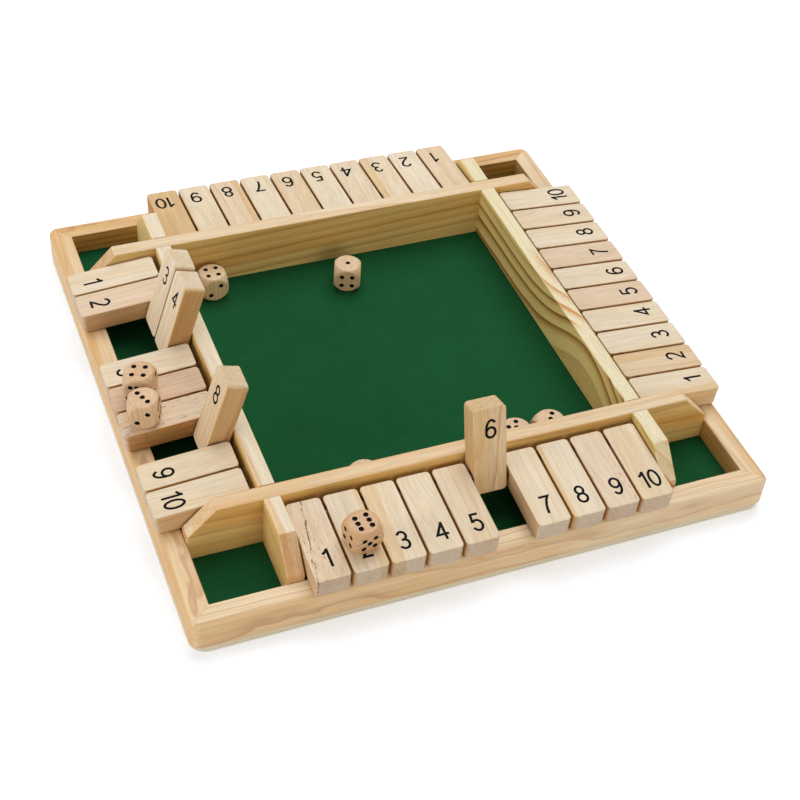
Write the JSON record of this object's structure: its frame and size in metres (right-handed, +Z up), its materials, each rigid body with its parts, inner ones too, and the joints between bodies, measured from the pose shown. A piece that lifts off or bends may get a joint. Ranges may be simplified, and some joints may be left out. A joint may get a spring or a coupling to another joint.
{
  "type": "shut the box game",
  "caption": "Square wooden tray game with felt floor: numbered tiles on rods along all four sides flip up against the inner walls, and wooden dice lie on the felt and tiles.",
  "frame": {"origin": "on the table, under the middle of the board", "axes": "+Z up; -Y towards the front side, whose raised tile is number 6; +X to the right seen from the front"},
  "size_m": [0.3222, 0.3222, 0.0729],
  "materials": {
    "pine": "smooth, thin clear coat",
    "pale_wood": "sanded, bare",
    "rod_steel": "bright drawn",
    "sheet_wood": "sawn sheet, bare",
    "felt": "pressed wool felt",
    "dice_wood": "tumbled, waxed"
  },
  "bodies": {
    "board": {"base_board": "sheet_wood", "floor_board": "sheet_wood", "felt_lining": "felt", "outer_frame": "pine", "wall_front": "pine", "wall_right": "pine", "wall_rear": "pine", "wall_left": "pine", "hinge_rod_front": "rod_steel", "hinge_rod_right": "rod_steel", "hinge_rod_rear": "rod_steel", "hinge_rod_left": "rod_steel"},
    "tile_front_1": {"tile_front_1": "pale_wood"},
    "tile_front_2": {"tile_front_2": "pale_wood"},
    "tile_front_3": {"tile_front_3": "pale_wood"},
    "tile_front_4": {"tile_front_4": "pale_wood"},
    "tile_front_5": {"tile_front_5": "pale_wood"},
    "tile_front_6": {"tile_front_6": "pale_wood"},
    "tile_front_7": {"tile_front_7": "pale_wood"},
    "tile_front_8": {"tile_front_8": "pale_wood"},
    "tile_front_9": {"tile_front_9": "pale_wood"},
    "tile_front_10": {"tile_front_10": "pale_wood"},
    "tile_right_1": {"tile_right_1": "pale_wood"},
    "tile_right_2": {"tile_right_2": "pale_wood"},
    "tile_right_3": {"tile_right_3": "pale_wood"},
    "tile_right_4": {"tile_right_4": "pale_wood"},
    "tile_right_5": {"tile_right_5": "pale_wood"},
    "tile_right_6": {"tile_right_6": "pale_wood"},
    "tile_right_7": {"tile_right_7": "pale_wood"},
    "tile_right_8": {"tile_right_8": "pale_wood"},
    "tile_right_9": {"tile_right_9": "pale_wood"},
    "tile_right_10": {"tile_right_10": "pale_wood"},
    "tile_rear_1": {"tile_rear_1": "pale_wood"},
    "tile_rear_2": {"tile_rear_2": "pale_wood"},
    "tile_rear_3": {"tile_rear_3": "pale_wood"},
    "tile_rear_4": {"tile_rear_4": "pale_wood"},
    "tile_rear_5": {"tile_rear_5": "pale_wood"},
    "tile_rear_6": {"tile_rear_6": "pale_wood"},
    "tile_rear_7": {"tile_rear_7": "pale_wood"},
    "tile_rear_8": {"tile_rear_8": "pale_wood"},
    "tile_rear_9": {"tile_rear_9": "pale_wood"},
    "tile_rear_10": {"tile_rear_10": "pale_wood"},
    "tile_left_1": {"tile_left_1": "pale_wood"},
    "tile_left_2": {"tile_left_2": "pale_wood"},
    "tile_left_3": {"tile_left_3": "pale_wood"},
    "tile_left_4": {"tile_left_4": "pale_wood"},
    "tile_left_5": {"tile_left_5": "pale_wood"},
    "tile_left_6": {"tile_left_6": "pale_wood"},
    "tile_left_7": {"tile_left_7": "pale_wood"},
    "tile_left_8": {"tile_left_8": "pale_wood"},
    "tile_left_9": {"tile_left_9": "pale_wood"},
    "tile_left_10": {"tile_left_10": "pale_wood"},
    "die_1": {"die_1": "dice_wood"},
    "die_2": {"die_2": "dice_wood"},
    "die_3": {"die_3": "dice_wood"},
    "die_4": {"die_4": "dice_wood"},
    "die_5": {"die_5": "dice_wood"},
    "die_6": {"die_6": "dice_wood"},
    "die_7": {"die_7": "dice_wood"},
    "die_8": {"die_8": "dice_wood"}
  },
  "joints": [
    {"name": "tile_front_6_hinge", "type": "hinge", "parent": "board", "child": "tile_front_6", "pos_m": [0.00988, -0.11779, 0.02999], "axis": [-1, 0, 0], "range_deg": [-110.7, 0]},
    {"name": "tile_left_3_hinge", "type": "hinge", "parent": "board", "child": "tile_left_3", "pos_m": [-0.11779, 0.04938, 0.02999], "axis": [0, 1, 0], "range_deg": [-110.7, 0]},
    {"name": "tile_left_4_hinge", "type": "hinge", "parent": "board", "child": "tile_left_4", "pos_m": [-0.11779, 0.02962, 0.02999], "axis": [0, 1, 0], "range_deg": [-110.7, 0]},
    {"name": "tile_left_8_hinge", "type": "hinge", "parent": "board", "child": "tile_left_8", "pos_m": [-0.11779, -0.04938, 0.02999], "axis": [0, 1, 0], "range_deg": [-110.7, 0]},
    {"name": "tile_front_2_hinge", "type": "hinge", "parent": "board", "child": "tile_front_2", "pos_m": [-0.06913, -0.11779, 0.02999], "axis": [-1, 0, 0], "range_deg": [0, 110.7]},
    {"name": "tile_left_6_hinge", "type": "hinge", "parent": "board", "child": "tile_left_6", "pos_m": [-0.11779, -0.00988, 0.02999], "axis": [0, 1, 0], "range_deg": [0, 110.7]},
    {"name": "tile_left_7_hinge", "type": "hinge", "parent": "board", "child": "tile_left_7", "pos_m": [-0.11779, -0.02962, 0.02999], "axis": [0, 1, 0], "range_deg": [0, 110.7]},
    {"name": "tile_front_1_hinge", "type": "hinge", "parent": "board", "child": "tile_front_1", "pos_m": [-0.08887, -0.11779, 0.02999], "axis": [-1, 0, 0], "range_deg": [0, 110.7]},
    {"name": "tile_front_10_hinge", "type": "hinge", "parent": "board", "child": "tile_front_10", "pos_m": [0.08887, -0.11779, 0.02999], "axis": [-1, 0, 0], "range_deg": [0, 110.7]},
    {"name": "tile_right_1_hinge", "type": "hinge", "parent": "board", "child": "tile_right_1", "pos_m": [0.11779, -0.08887, 0.02999], "axis": [0, -1, 0], "range_deg": [0, 110.7]},
    {"name": "tile_right_10_hinge", "type": "hinge", "parent": "board", "child": "tile_right_10", "pos_m": [0.11779, 0.08887, 0.02999], "axis": [0, -1, 0], "range_deg": [0, 110.7]},
    {"name": "tile_rear_1_hinge", "type": "hinge", "parent": "board", "child": "tile_rear_1", "pos_m": [0.08887, 0.11779, 0.02999], "axis": [1, 0, 0], "range_deg": [0, 110.7]},
    {"name": "tile_rear_10_hinge", "type": "hinge", "parent": "board", "child": "tile_rear_10", "pos_m": [-0.08887, 0.11779, 0.02999], "axis": [1, 0, 0], "range_deg": [0, 110.7]},
    {"name": "tile_left_1_hinge", "type": "hinge", "parent": "board", "child": "tile_left_1", "pos_m": [-0.11779, 0.08887, 0.02999], "axis": [0, 1, 0], "range_deg": [0, 110.7]},
    {"name": "tile_left_10_hinge", "type": "hinge", "parent": "board", "child": "tile_left_10", "pos_m": [-0.11779, -0.08887, 0.02999], "axis": [0, 1, 0], "range_deg": [0, 110.7]},
    {"name": "die_6_lift", "type": "slide", "parent": "tile_front_2", "child": "die_6", "axis": [0, -0.075, 0.9972], "range_m": [0, 0.04]},
    {"name": "die_7_lift", "type": "slide", "parent": "tile_left_6", "child": "die_7", "axis": [-0.075, 0, 0.9972], "range_m": [0, 0.04]},
    {"name": "die_8_lift", "type": "slide", "parent": "tile_left_7", "child": "die_8", "axis": [-0.075, 0, 0.9972], "range_m": [0, 0.04]},
    {"name": "die_1_lift", "type": "slide", "parent": "board", "child": "die_1", "axis": [0, 0, 1], "range_m": [0, 0.06]},
    {"name": "die_2_lift", "type": "slide", "parent": "board", "child": "die_2", "axis": [0, 0, 1], "range_m": [0, 0.06]},
    {"name": "die_3_lift", "type": "slide", "parent": "board", "child": "die_3", "axis": [0, 0, 1], "range_m": [0, 0.06]},
    {"name": "die_4_lift", "type": "slide", "parent": "board", "child": "die_4", "axis": [0, 0, 1], "range_m": [0, 0.06]},
    {"name": "die_5_lift", "type": "slide", "parent": "board", "child": "die_5", "axis": [0, 0, 1], "range_m": [0, 0.06]},
    {"name": "tile_front_3_hinge", "type": "hinge", "parent": "board", "child": "tile_front_3", "pos_m": [-0.04938, -0.11779, 0.02999], "axis": [-1, 0, 0], "range_deg": [0, 110.7]},
    {"name": "tile_front_4_hinge", "type": "hinge", "parent": "board", "child": "tile_front_4", "pos_m": [-0.02962, -0.11779, 0.02999], "axis": [-1, 0, 0], "range_deg": [0, 110.7]},
    {"name": "tile_front_5_hinge", "type": "hinge", "parent": "board", "child": "tile_front_5", "pos_m": [-0.00988, -0.11779, 0.02999], "axis": [-1, 0, 0], "range_deg": [0, 110.7]},
    {"name": "tile_front_7_hinge", "type": "hinge", "parent": "board", "child": "tile_front_7", "pos_m": [0.02962, -0.11779, 0.02999], "axis": [-1, 0, 0], "range_deg": [0, 110.7]},
    {"name": "tile_front_8_hinge", "type": "hinge", "parent": "board", "child": "tile_front_8", "pos_m": [0.04938, -0.11779, 0.02999], "axis": [-1, 0, 0], "range_deg": [0, 110.7]},
    {"name": "tile_front_9_hinge", "type": "hinge", "parent": "board", "child": "tile_front_9", "pos_m": [0.06913, -0.11779, 0.02999], "axis": [-1, 0, 0], "range_deg": [0, 110.7]},
    {"name": "tile_right_2_hinge", "type": "hinge", "parent": "board", "child": "tile_right_2", "pos_m": [0.11779, -0.06913, 0.02999], "axis": [0, -1, 0], "range_deg": [0, 110.7]},
    {"name": "tile_right_3_hinge", "type": "hinge", "parent": "board", "child": "tile_right_3", "pos_m": [0.11779, -0.04938, 0.02999], "axis": [0, -1, 0], "range_deg": [0, 110.7]},
    {"name": "tile_right_4_hinge", "type": "hinge", "parent": "board", "child": "tile_right_4", "pos_m": [0.11779, -0.02962, 0.02999], "axis": [0, -1, 0], "range_deg": [0, 110.7]},
    {"name": "tile_right_5_hinge", "type": "hinge", "parent": "board", "child": "tile_right_5", "pos_m": [0.11779, -0.00988, 0.02999], "axis": [0, -1, 0], "range_deg": [0, 110.7]},
    {"name": "tile_right_6_hinge", "type": "hinge", "parent": "board", "child": "tile_right_6", "pos_m": [0.11779, 0.00988, 0.02999], "axis": [0, -1, 0], "range_deg": [0, 110.7]},
    {"name": "tile_right_7_hinge", "type": "hinge", "parent": "board", "child": "tile_right_7", "pos_m": [0.11779, 0.02962, 0.02999], "axis": [0, -1, 0], "range_deg": [0, 110.7]},
    {"name": "tile_right_8_hinge", "type": "hinge", "parent": "board", "child": "tile_right_8", "pos_m": [0.11779, 0.04938, 0.02999], "axis": [0, -1, 0], "range_deg": [0, 110.7]},
    {"name": "tile_right_9_hinge", "type": "hinge", "parent": "board", "child": "tile_right_9", "pos_m": [0.11779, 0.06913, 0.02999], "axis": [0, -1, 0], "range_deg": [0, 110.7]},
    {"name": "tile_rear_2_hinge", "type": "hinge", "parent": "board", "child": "tile_rear_2", "pos_m": [0.06913, 0.11779, 0.02999], "axis": [1, 0, 0], "range_deg": [0, 110.7]},
    {"name": "tile_rear_3_hinge", "type": "hinge", "parent": "board", "child": "tile_rear_3", "pos_m": [0.04938, 0.11779, 0.02999], "axis": [1, 0, 0], "range_deg": [0, 110.7]},
    {"name": "tile_rear_4_hinge", "type": "hinge", "parent": "board", "child": "tile_rear_4", "pos_m": [0.02962, 0.11779, 0.02999], "axis": [1, 0, 0], "range_deg": [0, 110.7]},
    {"name": "tile_rear_5_hinge", "type": "hinge", "parent": "board", "child": "tile_rear_5", "pos_m": [0.00988, 0.11779, 0.02999], "axis": [1, 0, 0], "range_deg": [0, 110.7]},
    {"name": "tile_rear_6_hinge", "type": "hinge", "parent": "board", "child": "tile_rear_6", "pos_m": [-0.00988, 0.11779, 0.02999], "axis": [1, 0, 0], "range_deg": [0, 110.7]},
    {"name": "tile_rear_7_hinge", "type": "hinge", "parent": "board", "child": "tile_rear_7", "pos_m": [-0.02962, 0.11779, 0.02999], "axis": [1, 0, 0], "range_deg": [0, 110.7]},
    {"name": "tile_rear_8_hinge", "type": "hinge", "parent": "board", "child": "tile_rear_8", "pos_m": [-0.04938, 0.11779, 0.02999], "axis": [1, 0, 0], "range_deg": [0, 110.7]},
    {"name": "tile_rear_9_hinge", "type": "hinge", "parent": "board", "child": "tile_rear_9", "pos_m": [-0.06913, 0.11779, 0.02999], "axis": [1, 0, 0], "range_deg": [0, 110.7]},
    {"name": "tile_left_2_hinge", "type": "hinge", "parent": "board", "child": "tile_left_2", "pos_m": [-0.11779, 0.06913, 0.02999], "axis": [0, 1, 0], "range_deg": [0, 110.7]},
    {"name": "tile_left_5_hinge", "type": "hinge", "parent": "board", "child": "tile_left_5", "pos_m": [-0.11779, 0.00988, 0.02999], "axis": [0, 1, 0], "range_deg": [0, 110.7]},
    {"name": "tile_left_9_hinge", "type": "hinge", "parent": "board", "child": "tile_left_9", "pos_m": [-0.11779, -0.06913, 0.02999], "axis": [0, 1, 0], "range_deg": [0, 110.7]}
  ]
}
